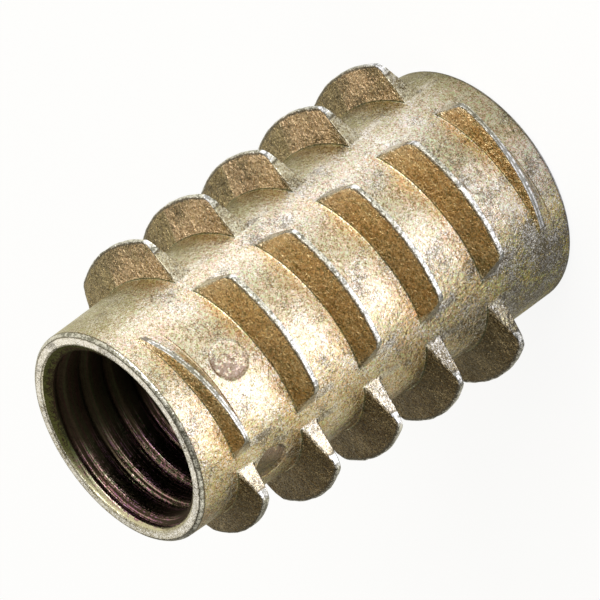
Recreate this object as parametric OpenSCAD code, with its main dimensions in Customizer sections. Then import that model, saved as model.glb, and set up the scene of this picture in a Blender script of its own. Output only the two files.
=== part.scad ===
// Hex-drive threaded insert for wood, cast in one piece from zinc.
// The axis is Z. The drive end stands on z = 0 and the entry end is on top.
// The outside thread is cast by four slides, so each turn is broken into four
// ribs whose ends are flat and lie along the pull of their slide.

/* [Body] */
// Length from the drive end to the entry end
body_length = 25; // [22:0.5:32]
// Diameter of the plain collar at the drive end
drive_end_dia = 13.14; // [12.8:0.02:16]
// Length of the plain collar
collar_length = 4; // [1:0.1:8]
// Diameter of the core at the entry end
entry_end_dia = 11.46; // [11:0.02:13.8]
// How far the taper above the collar dips below a straight line, at its middle
taper_dip = 0.07; // [0:0.01:0.3]
// Rounding of the outer edge at the drive end
drive_edge_round = 0.36; // [0.1:0.02:0.5]
// Rounding of the outer edge at the entry end
entry_edge_round = 0.28; // [0.1:0.02:0.4]

/* [Machine thread] */
// Diameter across the crests of the M10 x 1.5 machine thread
bore_dia = 9.3; // [6:0.05:9.6]
// Diameter of the countersink at the entry end
mouth_dia = 10.2; // [9.7:0.05:10.3]
// Depth of the countersink
mouth_depth = 0.45; // [0.2:0.05:1.5]

/* [Hex drive] */
// Width across the flats of the hex socket
hex_flats = 10.1; // [9.7:0.1:10.5]
// Depth of the hex socket
hex_depth = 6; // [4:0.5:10]
// Depth of the bevel that leads into the flats
hex_bevel = 0.4; // [0.1:0.1:0.6]

/* [Wood thread] */
// Rise of the thread in one turn
wood_pitch = 4.14; // [3.2:0.02:4.4]
// Depth of the first rib's root line below the entry end
first_rib_depth = 1.63; // [1:0.01:3]
// Least length that is kept clear below the last rib
clear_length = 1.5; // [0.8:0.1:4]
// Height of the ribs above the core
rib_height = 1.84; // [1:0.02:2.4]
// Height of the lead-in ribs and of the run-out rib
lead_height = 1.25; // [0.6:0.05:1.8]
// Extra height of the ribs from each slide, in the order that they are cast down the helix
slide_extra = [0, 0.16, 0.1, 0.04]; // [0:0.02:0.2]
// Thickness of a rib at the core, on its middle plane
rib_root = 1.08; // [0.8:0.02:1.6]
// How much thinner the root is at a rib's two ends
root_relief = 0.11; // [0:0.01:0.25]
// Thickness of a rib at its crest
rib_crest = 0.27; // [0.15:0.01:0.5]
// Set-back of the crest from the entry side of the root
crest_setback = 0.5; // [0.2:0.02:0.7]
// Rise of the crest as a share of the thread's own rise
crest_rise = 0.65; // [0.4:0.05:1]
// Rounding of the crest's two corners
corner_round = 0.45; // [0.2:0.05:0.8]

/* [Slides] */
// Reach of a rib from its middle plane, on its clockwise side
reach_cw = 3.85; // [3:0.05:4.1]
// The same reach on its other side, at the entry end
reach_ccw_entry = 3.6; // [3:0.05:4]
// The same reach on its other side, at the drive end
reach_ccw_drive = 4.1; // [3:0.05:4.2]
// How much shorter each reach is at the crest
end_draft = 0.3; // [0.1:0.05:0.6]

/* [Hidden] */
slides = 4;             // casting slides round the body
round_steps = 5;        // straight steps in a rounded edge
taper_steps = 8;        // straight steps along the dipped taper
rib_steps = 6;          // stations along a rib between its rounded corners
corner_steps = 3;       // stations in each rounded corner
root_sink = 0.5;        // how deep a rib is rooted in the core
runout_height = 0.15;   // height that the last rib has left at its clockwise end
overrun = 1;            // how far a cutter passes a face
$fn = 96;

rib_drop = wood_pitch / slides;     // fall from one rib to the next
thread_room = body_length - first_rib_depth - rib_root - clear_length;
last_rib = floor(thread_room / rib_drop);
middle_slide = 270;     // direction of the slide that casts the first rib

// Share of the way from the entry end to the drive end
function share(z) = (body_length - z) / body_length;

// Radius of the core at height z: a taper down to the collar, then the collar
function core_r(z) =
    let (u = min(1, (body_length - z) / (body_length - collar_length)))
    entry_end_dia / 2 * (1 - u) + drive_end_dia / 2 * u - taper_dip * 4 * u * (1 - u);

// Points of a rounded outer edge: r is its size, top is 1 at the entry end
function edge_points(r, z_end, top) =
    let (side = top ? 1 : -1, r_core = core_r(z_end - side * r))
    [for (i = [0:round_steps])
        let (a = top ? i * 90 / round_steps : -90 + i * 90 / round_steps)
        [r_core - r + r * cos(a), z_end - side * r + r * sin(a)]];

// Points of the tapered side, from the top of the collar up to the rounded entry edge
function taper_points() =
    let (low = collar_length, high = body_length - entry_edge_round)
    [for (i = [0:taper_steps - 1])
        let (z = low + (high - low) * i / taper_steps)
        [core_r(z), z]];

module core() {
    rotate_extrude()
        polygon(concat(
            [[0, 0]],
            edge_points(drive_edge_round, 0, false),
            taper_points(),
            edge_points(entry_edge_round, body_length, true),
            [[0, body_length]]));
}

// Full rib height at station t, from -1 at the clockwise end to 1, cut back at the corners
function corner_drop(t, reach) =
    let (inside = (1 - abs(t)) * reach, d = max(0, corner_round - inside))
    corner_round - sqrt(max(0, corner_round * corner_round - d * d));

// Stations along a rib: close together where the corners are rounded
function stations(reach) =
    let (c = corner_round / reach)
    concat(
        [for (i = [0:corner_steps - 1]) -1 + c * (1 - cos(90 * i / corner_steps))],
        [for (i = [0:rib_steps]) (1 - c) * (2 * i / rib_steps - 1)],
        [for (i = [corner_steps - 1:-1:0]) 1 - c * (1 - cos(90 * i / corner_steps))]);

// A point of the rib: side is sideways from the middle plane, r is its radius
function rib_point(side, r, z) = [sqrt(r * r - side * side), side, z];

// The four points of one cross-section, from under the core to the crest and back.
// rise is the share of the full height, tall, and below the core it runs on at the same slope.
function section(t, z_mid, reach, h, tall) =
    let (
        r0 = core_r(z_mid),
        side_root = t * reach,
        side_crest = t * (reach - end_draft),
        turn_root = asin(side_root / r0),
        turn_crest = asin(side_crest / (r0 + tall)),
        lift_root = wood_pitch * turn_root / 360,
        lift_crest = crest_rise * wood_pitch * turn_crest / 360,
        root_top = z_mid + lift_root - root_relief * abs(t),
        root_low = z_mid + lift_root - rib_root,
        crest_top = z_mid + lift_crest - crest_setback,
        crest_low = crest_top - rib_crest,
        rise = (h - corner_drop(t, reach)) / tall,
        sink = -root_sink / tall,
        side_top = side_root + (side_crest - side_root) * rise,
        side_low = side_root + (side_crest - side_root) * sink)
    [
        rib_point(side_low, r0 - root_sink, root_top + (crest_top - root_top) * sink),
        rib_point(side_top, r0 + rise * tall, root_top + (crest_top - root_top) * rise),
        rib_point(side_top, r0 + rise * tall, root_low + (crest_low - root_low) * rise),
        rib_point(side_low, r0 - root_sink, root_low + (crest_low - root_low) * sink)
    ];

// One rib on the +X side, rooted in the core. Its height runs from h_cw to h_ccw,
// and tall is the full height of the ribs from its slide.
module rib(z_mid, h_cw, h_ccw, tall) {
    reach_ccw = reach_ccw_entry + (reach_ccw_drive - reach_ccw_entry) * share(z_mid);
    left = [for (t = stations(reach_cw)) if (t < 0) t];
    right = [for (t = stations(reach_ccw)) if (t >= 0) t];
    cuts = concat(
        [for (t = left) section(t, z_mid, reach_cw, h_cw + (h_ccw - h_cw) * (1 + t) / 2, tall)],
        [for (t = right) section(t, z_mid, reach_ccw, h_cw + (h_ccw - h_cw) * (1 + t) / 2, tall)]);
    last = len(cuts) - 1;
    points = [for (cut = cuts) for (p = cut) p];
    sides = [for (i = [0:last - 1]) for (k = [0:3])
        let (a = 4 * i + k, b = 4 * i + (k + 1) % 4)
        each [[a, a + 4, b], [b, a + 4, b + 4]]];
    polyhedron(points, concat([[0, 1, 2, 3]], sides, [[for (k = [3:-1:0]) 4 * last + k]]));
}

// The broken outside thread: it starts at nothing, and its last rib runs out to nothing
module wood_thread() {
    for (n = [0:last_rib]) {
        tall = rib_height + slide_extra[n % slides];
        rotate(middle_slide - n * 360 / slides)
            rib(body_length - first_rib_depth - n * rib_drop,
                n == last_rib ? runout_height : n <= 1 ? lead_height : tall,
                n == 0 ? 0 : n == 1 || n == last_rib ? lead_height : tall,
                tall);
    }
}

module machine_bore() {
    translate([0, 0, -overrun])
        cylinder(h = body_length + 2 * overrun, d = bore_dia);
    translate([0, 0, body_length - mouth_depth])
        cylinder(h = mouth_depth, d1 = bore_dia, d2 = mouth_dia);
    translate([0, 0, body_length])
        cylinder(h = overrun, d = mouth_dia);
}

module hex_socket() {
    translate([0, 0, -overrun])
        cylinder(h = hex_depth + overrun, d = hex_flats / cos(30), $fn = 6);
    translate([0, 0, -overrun])
        cylinder(h = overrun, d = hex_flats + 2 * hex_bevel);
    cylinder(h = hex_bevel, d1 = hex_flats + 2 * hex_bevel, d2 = hex_flats);
}

module insert_body() {
    color([0.78, 0.71, 0.55])
        difference() {
            union() {
                core();
                wood_thread();
            }
            machine_bore();
            hex_socket();
        }
}

insert_body();
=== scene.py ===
# %% [markdown]
# # A hex-drive threaded insert, cast in zinc
#
# The real part is one casting: a tapered sleeve with a coarse broken thread
# outside, a fine machine thread inside, and a hex socket in the end that it
# stands on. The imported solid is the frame. This file makes the visible surface
# round it, in the same place and at the same size. Meshes are worked out in
# millimetres, because that is how a maker reads the part, and scaled once.

# %% Load the frame
import math

import bmesh
import bpy
from mathutils import Matrix, Vector


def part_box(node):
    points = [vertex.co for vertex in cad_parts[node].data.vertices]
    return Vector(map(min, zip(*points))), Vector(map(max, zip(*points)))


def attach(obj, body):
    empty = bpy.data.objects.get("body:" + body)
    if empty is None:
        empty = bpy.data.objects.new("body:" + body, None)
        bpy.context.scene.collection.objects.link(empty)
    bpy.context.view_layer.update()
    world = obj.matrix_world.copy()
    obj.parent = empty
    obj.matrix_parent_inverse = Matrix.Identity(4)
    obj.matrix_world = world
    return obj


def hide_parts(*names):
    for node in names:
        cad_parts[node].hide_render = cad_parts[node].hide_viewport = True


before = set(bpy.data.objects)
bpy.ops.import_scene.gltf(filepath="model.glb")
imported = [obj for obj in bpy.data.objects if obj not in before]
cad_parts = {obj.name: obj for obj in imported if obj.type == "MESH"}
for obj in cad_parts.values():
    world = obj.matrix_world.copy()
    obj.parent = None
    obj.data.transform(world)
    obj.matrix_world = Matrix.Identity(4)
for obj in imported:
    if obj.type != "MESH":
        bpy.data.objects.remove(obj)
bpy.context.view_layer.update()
NODE = "insert_body"
MM = 0.001

# %% [markdown]
# ## The camera
#
# The insert stands on its broad end, but it is looked at askew: the camera
# looks down on it from the front and is rolled, so that the insert seems to lie
# across the picture. A long lens far away keeps the perspective flat. The
# camera is placed by what it looks at, its direction, its distance and its roll.

# %% Place the camera
AIM = Vector((0.357, 0.005, 12.227)) * MM
AZIMUTH = math.radians(-0.876)
ELEVATION = math.radians(31.520)
ROLL = math.radians(125.292)
DISTANCE = 237.31 * MM
SENSOR_WIDTH = 36.0
FOCAL_LENGTH = 292.95
SEEN_FROM = 0.01
SEEN_TO = 10.0


def camera_turn(azimuth, elevation, roll):
    """The camera's axes, and where it looks. Azimuth 0 looks along +Y, elevation down."""
    ahead = Vector((
        math.sin(azimuth) * math.cos(elevation),
        math.cos(azimuth) * math.cos(elevation),
        -math.sin(elevation),
    ))
    level = ahead.cross(Vector((0, 0, 1))).normalized()
    above = level.cross(ahead)
    up = above * math.cos(roll) + level * math.sin(roll)
    return Matrix((ahead.cross(up), up, -ahead)).transposed(), ahead


turn, ahead = camera_turn(AZIMUTH, ELEVATION, ROLL)
camera_data = bpy.data.cameras.new("camera")
camera_data.sensor_width = SENSOR_WIDTH
camera_data.lens = FOCAL_LENGTH
camera_data.clip_start = SEEN_FROM
camera_data.clip_end = SEEN_TO
camera = bpy.data.objects.new("camera", camera_data)
camera.matrix_world = Matrix.Translation(AIM - ahead * DISTANCE) @ turn.to_4x4()
bpy.context.scene.collection.objects.link(camera)
bpy.context.scene.camera = camera
print("camera at, mm:", [round(c / MM, 2) for c in camera.location])

# %% [markdown]
# ## Sizes
#
# A few driving sizes give the whole part. The length comes from the frame, and
# the rest are what a maker would read off a drawing: the taper of the core, the
# pitch and section of the coarse thread, and the reach of each rib.

# %% Driving sizes, in millimetres
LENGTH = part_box(NODE)[1].z / MM
ENTRY_RADIUS = 5.73
DRIVE_RADIUS = 6.57
COLLAR_LENGTH = 4.0
TAPER_DIP = 0.07
ENTRY_ROUND = 0.28
DRIVE_ROUND = 0.36

SLIDES = 4
WOOD_PITCH = 4.14
LAST_RIB = 20
RIB_HEIGHT = 1.82
RIB_ROOT = 1.08
ROOT_RELIEF = 0.11
RIB_CREST = 0.27
CREST_SETBACK = 0.50
REACH = 3.85
END_DRAFT = 0.30
CORNER_ROUND = 0.45
FIRST_DIRECTION = math.radians(270)

BORE_RADIUS = 4.65
GROOVE_RADIUS = 5.0
MACHINE_PITCH = 1.5
MOUTH_RADIUS = 5.11
HEX_FLATS = 10.1
HEX_DEPTH = 6.0
HEX_BEVEL = 0.4


def core_radius(z):
    """Radius of the core at height z: a taper, then a collar. It works on numbers and fields."""
    u = (LENGTH - z) / (LENGTH - COLLAR_LENGTH)
    u = u.lowest(1) if isinstance(u, Field) else min(u, 1)
    return ENTRY_RADIUS + (DRIVE_RADIUS - ENTRY_RADIUS) * u - (1 - u) * u * (4 * TAPER_DIP)


print("length, mm:", round(LENGTH, 3), "ribs:", LAST_RIB + 1, "a turn:", SLIDES)

# %% [markdown]
# ## Formulas as nodes
#
# A rule such as "radius = core + height" takes a node for each sign. A small
# wrapper lets a socket be used in a sum, so that each rule reads as a formula
# and still becomes plain Math nodes in the tree.

# %% Helpers for node trees
SIGNS = {"add": "ADD", "sub": "SUBTRACT", "mul": "MULTIPLY", "truediv": "DIVIDE"}


def add_node(tree, kind, inputs=None, **settings):
    """Adds a node, gives it its settings, and links or fills its inputs."""
    node = tree.nodes.new(kind)
    for name, value in settings.items():
        setattr(node, name, value)
    for key, value in (inputs or {}).items():
        value = value.socket if isinstance(value, Field) else value
        if isinstance(value, bpy.types.NodeSocket):
            tree.links.new(value, node.inputs[key])
        else:
            node.inputs[key].default_value = value
    return node


class Field:
    """A socket that can stand in a sum. Each sign adds one Math node."""

    def __init__(self, tree, socket):
        self.tree = tree
        self.socket = socket

    def calc(self, operation, *values, clamp=False):
        """A Math node on some values, in their order."""
        node = add_node(self.tree, "ShaderNodeMath", dict(enumerate(values)), operation=operation)
        node.use_clamp = clamp
        return Field(self.tree, node.outputs[0])

    def apply(self, operation):
        """A Math node that needs this value only, such as COSINE."""
        return self.calc(operation, self)

    def equals(self, number):
        """1 where the value is this whole number, and 0 elsewhere."""
        return self.calc("COMPARE", self, number, 0.5)

    def above(self, other):
        """1 where this value is above the other, and 0 elsewhere."""
        return self.calc("GREATER_THAN", self, other)

    def lowest(self, other):
        """The lower of two values."""
        return self.calc("MINIMUM", self, other)

    def highest(self, other):
        """The higher of two values."""
        return self.calc("MAXIMUM", self, other)

    def held(self):
        """The value held between 0 and 1."""
        return self.calc("ADD", self, 0.0, clamp=True)


# Python asks for __add__ at a plus sign, and for __radd__ when a plain number stands first.
for sign, maths in SIGNS.items():
    setattr(Field, f"__{sign}__", lambda self, other, maths=maths: self.calc(maths, self, other))
    setattr(Field, f"__r{sign}__", lambda self, other, maths=maths: self.calc(maths, other, self))


def value_of(tree, kind, inputs=None, output=0, **settings):
    """Adds a node, and gives one of its outputs for use in sums."""
    return Field(tree, add_node(tree, kind, inputs, **settings).outputs[output])


def split(tree, vector):
    """The X, Y and Z of a vector."""
    node = add_node(tree, "ShaderNodeSeparateXYZ", {0: vector})
    return [Field(tree, part) for part in node.outputs]


print("signs that make a node:", len(SIGNS))

# %% [markdown]
# ## Meshes that remember
#
# A mesh can keep values at its points, such as how near each one is to an edge
# that wears. One rule works them out, and the finish reads them much later, so
# the wear lies where the shape says. These helpers read and keep such values,
# set up a tree with named inputs, and run it over a mesh.

# %% Helpers for geometry
WELD = 0.002
SOCKET_KINDS = {
    "Geometry": "Geometry",
    "Material": "Material",
    "Place": "Vector",
    "Direction": "Vector",
    "Tint": "Color",
}


def here(tree):
    """Where a point of the mesh is now."""
    return tree.nodes.new("GeometryNodeInputPosition").outputs[0]


def attribute(tree, name):
    """A value that the mesh keeps at its points, read in Geometry Nodes."""
    return value_of(tree, "GeometryNodeInputNamedAttribute", {"Name": name}, data_type="FLOAT")


def store(tree, geometry, name, value):
    """Keeps a value at each point of the mesh."""
    return add_node(tree, "GeometryNodeStoreNamedAttribute",
                    {"Geometry": geometry, "Name": name, "Value": value},
                    data_type="FLOAT", domain="POINT").outputs[0]


def welded(tree, geometry):
    """Joins the points of neighbouring pieces that lie in one place."""
    return add_node(tree, "GeometryNodeMergeByDistance",
                    {"Geometry": geometry, "Distance": WELD}).outputs[0]


def new_tree(name, kind, takes, gives):
    """An empty node tree with named sockets, the values that it takes, and where results go."""
    tree = bpy.data.node_groups.new(name, kind + "NodeTree")
    for labels, in_out in ((gives, "OUTPUT"), (takes, "INPUT")):
        for label in labels:
            socket = "NodeSocket" + SOCKET_KINDS.get(label, "Float")
            tree.interface.new_socket(label, in_out=in_out, socket_type=socket)
    given = tree.nodes.new("NodeGroupInput").outputs
    asked = tree.nodes.new("NodeGroupOutput").inputs
    return tree, {label: Field(tree, given[label]) for label in takes}, asked


def finish_tree(tree, geometry, material, asked):
    """Ends a tree as a plain mesh with its material."""
    real = add_node(tree, "GeometryNodeRealizeInstances", {0: geometry})
    painted = add_node(tree, "GeometryNodeSetMaterial",
                       {"Geometry": real.outputs[0], "Material": material})
    tree.links.new(painted.outputs[0], asked["Geometry"])


def place(tree, geometry, radius, angle, z):
    """Moves each point to its radius, angle and height."""
    spot = add_node(tree, "ShaderNodeCombineXYZ", {
        0: radius * angle.apply("COSINE"),
        1: radius * angle.apply("SINE"),
        2: z,
    })
    return add_node(tree, "GeometryNodeSetPosition",
                    {"Geometry": geometry, "Position": spot.outputs[0]}).outputs[0]


def grown(mesh, tree, sizes, material):
    """Runs a tree over a mesh, and returns the result as a plain mesh."""
    grower = bpy.data.objects.new("grower", mesh)
    bpy.context.scene.collection.objects.link(grower)
    modifier = grower.modifiers.new("rule", "NODES")
    modifier.node_group = tree
    values = {**sizes, "Material": material}
    for item in tree.interface.items_tree:
        if item.in_out == "INPUT" and item.name in values:
            modifier[item.identifier] = values[item.name]
    bpy.context.view_layer.update()
    result = grower.evaluated_get(bpy.context.evaluated_depsgraph_get())
    plain = bpy.data.meshes.new_from_object(result)
    bpy.data.objects.remove(grower)
    return plain


print("core radii, mm:", round(core_radius(LENGTH), 3), round(core_radius(0), 3))

# %% [markdown]
# ## One rib, laid flat
#
# On the real tool four slides close round the part, and each slide casts one
# rib of every turn. All ribs are the same but for their height, so one is
# drawn flat, as a stamp: X is the share of the rib's sideways reach, Y is the
# place along the axis and Z is the height above the core. The stamp includes
# half of the plain land on each side, so that stamps meet edge to edge.

# %% The section and the ends of a rib
ROOT_FILLET = 0.15
CREST_FILLET = 0.08
LAND = (WOOD_PITCH - RIB_ROOT) / 2
LAND_STEPS = 7
FILLET_STEPS = 3
SLOPE_STEPS = 6
CREST_STEPS = 2
CREST_COLUMNS = (0.03, 0.4, 0.8, 1.2, 1.6, 2.0, 2.4, 2.8)
CORNER_ANGLES = (0, 22.5, 45, 67.5, 90)
END_STEPS = 4
FOOT_STEPS = 2
GAP_COLUMNS = 4


def between(a, b, steps):
    """Points from a to b, without b."""
    return [a.lerp(b, i / steps) for i in range(steps)]


def fillet(before, corner, after, radius, steps):
    """Points of an arc that rounds a corner of a line."""
    back = (before - corner).normalized()
    on = (after - corner).normalized()
    half = back.angle(on) / 2
    start = corner + back * (radius / math.tan(half))
    centre = corner + (back + on).normalized() * (radius / math.sin(half))
    spoke = start - centre
    sweep = math.pi - 2 * half
    side = 1 if back.x * on.y - back.y * on.x < 0 else -1
    turned = []
    for i in range(steps + 1):
        angle = side * sweep * i / steps
        turned.append(centre + Vector((
            spoke.x * math.cos(angle) - spoke.y * math.sin(angle),
            spoke.x * math.sin(angle) + spoke.y * math.cos(angle),
        )))
    return turned


def section_rows():
    """The rib's section from the entry side to the drive side, as points (axial, height)."""
    corners = [Vector(p) for p in (
        (LAND, 0), (0, 0), (-CREST_SETBACK, RIB_HEIGHT),
        (-CREST_SETBACK - RIB_CREST, RIB_HEIGHT), (-RIB_ROOT, 0), (-RIB_ROOT - LAND, 0))]
    radii = [ROOT_FILLET, CREST_FILLET, CREST_FILLET, ROOT_FILLET]
    arcs = [fillet(*corners[i:i + 3], radius, FILLET_STEPS) for i, radius in enumerate(radii)]
    straights = (SLOPE_STEPS, CREST_STEPS, SLOPE_STEPS, LAND_STEPS)
    rows = between(corners[0], arcs[0][0], LAND_STEPS)
    for arc, following, steps in zip(arcs, arcs[1:] + [[corners[-1]]], straights):
        rows += arc[:-1] + between(arc[-1], following[0], steps)
    return rows + [corners[-1]]


def end_columns():
    """Half of the rib's outline seen along the axis, as points (share of reach, height)."""
    arc_start = REACH - END_DRAFT - CORNER_ROUND
    outline = [Vector((side, RIB_HEIGHT)) for side in CREST_COLUMNS]
    for angle in CORNER_ANGLES:
        turn = math.radians(angle)
        outline.append(Vector((arc_start + CORNER_ROUND * math.sin(turn),
                               RIB_HEIGHT - CORNER_ROUND * (1 - math.cos(turn)))))
    foot = Vector((REACH, 0))
    foot_arc = fillet(outline[-1], foot, Vector((REACH + 1, 0)), CREST_FILLET, FOOT_STEPS)
    outline += between(outline[-1], foot_arc[0], END_STEPS)[1:] + foot_arc
    columns = [(p.x / REACH, p.y) for p in outline]
    edge = columns[-1][0]
    gap = 2 - edge
    return columns + [(edge + gap * (i + 1) / GAP_COLUMNS, 0.0) for i in range(GAP_COLUMNS)]


rows = section_rows()
half_columns = end_columns()
columns = [(-x, h) for x, h in reversed(half_columns)] + half_columns
print("stamp:", len(columns), "columns by", len(rows), "rows")

# %% Build the stamp
LEAN_FRONT = -0.30
LEAN_BACK = 0.11
BLEND = 0.10
WEAR_WIDTH = 0.13
END_WEAR = 0.75
# Width of the painted highlight along the root fillet of a rib's front.
ROOT_LINE = 0.07
# Width of the painted warm glow on the land in front of each rib's root.
ROOT_GLOW_LAND = 0.6
RELIEF_LENGTH = 0.8
FLANK_FOOT = 0.02
FLANK_TOP = RIB_HEIGHT - 0.05
CORNER_FOOT = RIB_HEIGHT - CORNER_ROUND
MIDDLE_SHARPNESS = 8


def clamp(value):
    """A number held between 0 and 1."""
    return max(0.0, min(1.0, value))


def softer_min(a, b):
    """The lower of two heights, with the crease between them rounded."""
    overlap = clamp(1 - abs(a - b) / BLEND)
    return min(a, b) - BLEND * overlap * overlap / 4


def bell(distance, width):
    """1 where the distance is 0, and almost 0 two widths away."""
    return math.exp(-(distance / width) ** 2)


def edge_nearness(row_height, end_height):
    """How near a point is to an edge that wears: the crest, or the edge of a rib's end."""
    height = min(row_height, end_height)
    if height <= 0:
        return 0.0
    if end_height > CORNER_FOOT and row_height >= end_height:
        return 1.0
    crest = bell(RIB_HEIGHT - height, WEAR_WIDTH)
    return max(crest, END_WEAR * bell(row_height - end_height, WEAR_WIDTH) * height / RIB_HEIGHT)


def stamp_point(x, end_height, axial, row_height):
    """One point of the stamp: its place, and the values that it keeps."""
    fade = clamp(2 - abs(x))
    rise = row_height / RIB_HEIGHT
    across = clamp((-CREST_SETBACK - axial) / RIB_CREST)
    lean = rise * (LEAN_FRONT + (LEAN_BACK - LEAN_FRONT) * across)
    front = clamp(1 - axial / RELIEF_LENGTH) if across == 0 else 0.0
    relief = ROOT_RELIEF * min(abs(x), 1.0) * fade * front * (1 - rise)
    height = max(0.0, softer_min(row_height, end_height)) if row_height > 0 else 0.0
    crest_middle = -CREST_SETBACK - RIB_CREST / 2
    values = {
        "lean": lean * fade,
        "back": rise * across * (LEAN_BACK - LEAN_FRONT) * fade,
        "flank": float(FLANK_FOOT < row_height < min(end_height, FLANK_TOP)),
        "wear": edge_nearness(row_height, end_height),
        "end": float(0 < end_height < CORNER_FOOT and row_height > 0),
        # Where the painted highlight of the root fillet lies.
        "root": fade * bell(math.hypot(axial, row_height), ROOT_LINE),
        "middle": bell(axial - crest_middle, CREST_FILLET / 2) * rise ** MIDDLE_SHARPNESS,
        # A painted warm glow on the land just in front of the rib.
        "root_glow": fade * bell(axial, ROOT_GLOW_LAND) if axial > 0 else 0.0,
    }
    return (x, axial - lean - relief, height), values


def stamp_mesh():
    """The flat rib and its land. Each point keeps its lean, and how near it is to each edge."""
    mesh = bpy.data.meshes.new("stamp")
    made = [stamp_point(x, end_height, *row) for x, end_height in columns for row in rows]
    n = len(rows)
    faces = [(c * n + r, c * n + r + 1, (c + 1) * n + r + 1, (c + 1) * n + r)
             for c in range(len(columns) - 1) for r in range(n - 1)]
    mesh.from_pydata([point for point, _ in made], [], faces)
    for name in made[0][1]:
        kept = mesh.attributes.new(name, "FLOAT", "POINT")
        kept.data.foreach_set("value", [values[name] for _, values in made])
    return mesh


stamp = stamp_mesh()
print("stamp points:", len(stamp.vertices))

# %% [markdown]
# ## The ribs, wrapped round the core
#
# A helix of ribs follows a rule, so Geometry Nodes lay it out. The tree makes
# one point for each rib, puts the stamp on each, and works out where every
# point of it belongs: a quarter turn and a quarter pitch on from the last one.
# The first ribs grow from nothing and the last one runs out, as on a screw.

# %% A stamp for each rib, and its height
SPARE_CELLS = 5
CELLS = LAST_RIB + 1 + 2 * SPARE_CELLS
LEAD_RIBS = 2
FADE_START = 1.1
RIB_INPUTS = {
    "Pitch": WOOD_PITCH,
    "First rib depth": 1.63,
    "Last rib": LAST_RIB,
    "Rib height": RIB_HEIGHT,
    "Lead share": 0.68,
    "Crest rise": 0.65,
    "Reach": REACH,
    "Far reach at entry": 3.60,
    "Far reach at drive": 4.10,
    "Extra on lower slide": 0.16,
    "Extra on back slide": 0.10,
    "Extra on upper slide": 0.04,
    "Far facet turn": 0.10,
    "Cast waviness": 0.03,
    "Crest nicks": 0.12,
    "Seed": 4.0,
}


def stamped(tree, flat_rib):
    """The stamp on a point for each rib, with the rib's number kept on it."""
    line = add_node(tree, "GeometryNodePoints", {"Count": CELLS})
    index = value_of(tree, "GeometryNodeInputIndex")
    numbered = store(tree, line.outputs[0], "rib", index - SPARE_CELLS)
    copies = add_node(tree, "GeometryNodeInstanceOnPoints",
                      {"Points": numbered, "Instance": flat_rib})
    return add_node(tree, "GeometryNodeRealizeInstances", {0: copies.outputs[0]}).outputs[0]


def rib_share(rib, x, size):
    """Share of full height: the first ribs grow from nothing, the last runs out."""
    last = size["Last rib"]
    start = (rib + (1 - x) / 2).held() * size["Lead share"]
    finish = (last - rib + (x + FADE_START) / (1 + FADE_START)).held() * size["Lead share"]
    is_lead = 1 - rib.above(LEAD_RIBS - 0.5)
    is_tail = rib.above(last - 0.5)
    return is_lead * start + is_tail * finish + (1 - is_lead) * (1 - is_tail)


print("stamps:", CELLS, "named inputs:", len(RIB_INPUTS))

# %% The waviness of the skin, and what its finish reads
SWELL = {"Scale": 1.1, "Detail": 3.0}
NICKS = {"Scale": 2.6, "Detail": 2.0}
SWELL_MIDDLE = 0.8
NICK_MIDDLE = 0.75
PRESENT_GAIN = 7
WEAR_GAIN = 12
BACK_GAIN = 10
HIDDEN_GAIN = 3
LEAD_DULLNESS = 1.2


def wavy(tree, geometry, size):
    """Moves the skin inwards by a little noise, as a casting is never quite true."""
    normal = tree.nodes.new("GeometryNodeInputNormal").outputs[0]
    swell, nicks = (
        value_of(tree, "ShaderNodeTexNoise",
                 {"Vector": here(tree), "W": size["Seed"], **pattern}, noise_dimensions="4D")
        for pattern in (SWELL, NICKS))
    nicks = (nicks - NICK_MIDDLE) * attribute(tree, "wear") * size["Crest nicks"]
    push = (swell - SWELL_MIDDLE) * size["Cast waviness"] + nicks
    offset = add_node(tree, "ShaderNodeVectorMath", {0: normal, "Scale": push}, operation="SCALE")
    return add_node(tree, "GeometryNodeSetPosition",
                    {"Geometry": geometry, "Offset": offset.outputs[0]}).outputs[0]


def kept_on_ribs(tree, cells, share):
    """Scales what the finish reads by the share of full height. With no rib, a stamp is plain."""
    present = (share * PRESENT_GAIN).held()
    back = (attribute(tree, "back") * BACK_GAIN).held()
    hidden = (back * (1 - share) * HIDDEN_GAIN).held()
    scales = {
        "wear": (share * WEAR_GAIN).held(),
        "flank": present * (1 - hidden),
        "end": present,
        "root": present,
        "root_glow": present,
        "middle": present * (LEAD_DULLNESS - share),
    }
    for name, scale in scales.items():
        cells = store(tree, cells, name, attribute(tree, name) * scale)
    return cells


print("waviness, mm:", RIB_INPUTS["Cast waviness"], "nicks, mm:", RIB_INPUTS["Crest nicks"])

# %% The wrapping tree
LEAD_THINNING = 1.1


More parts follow.
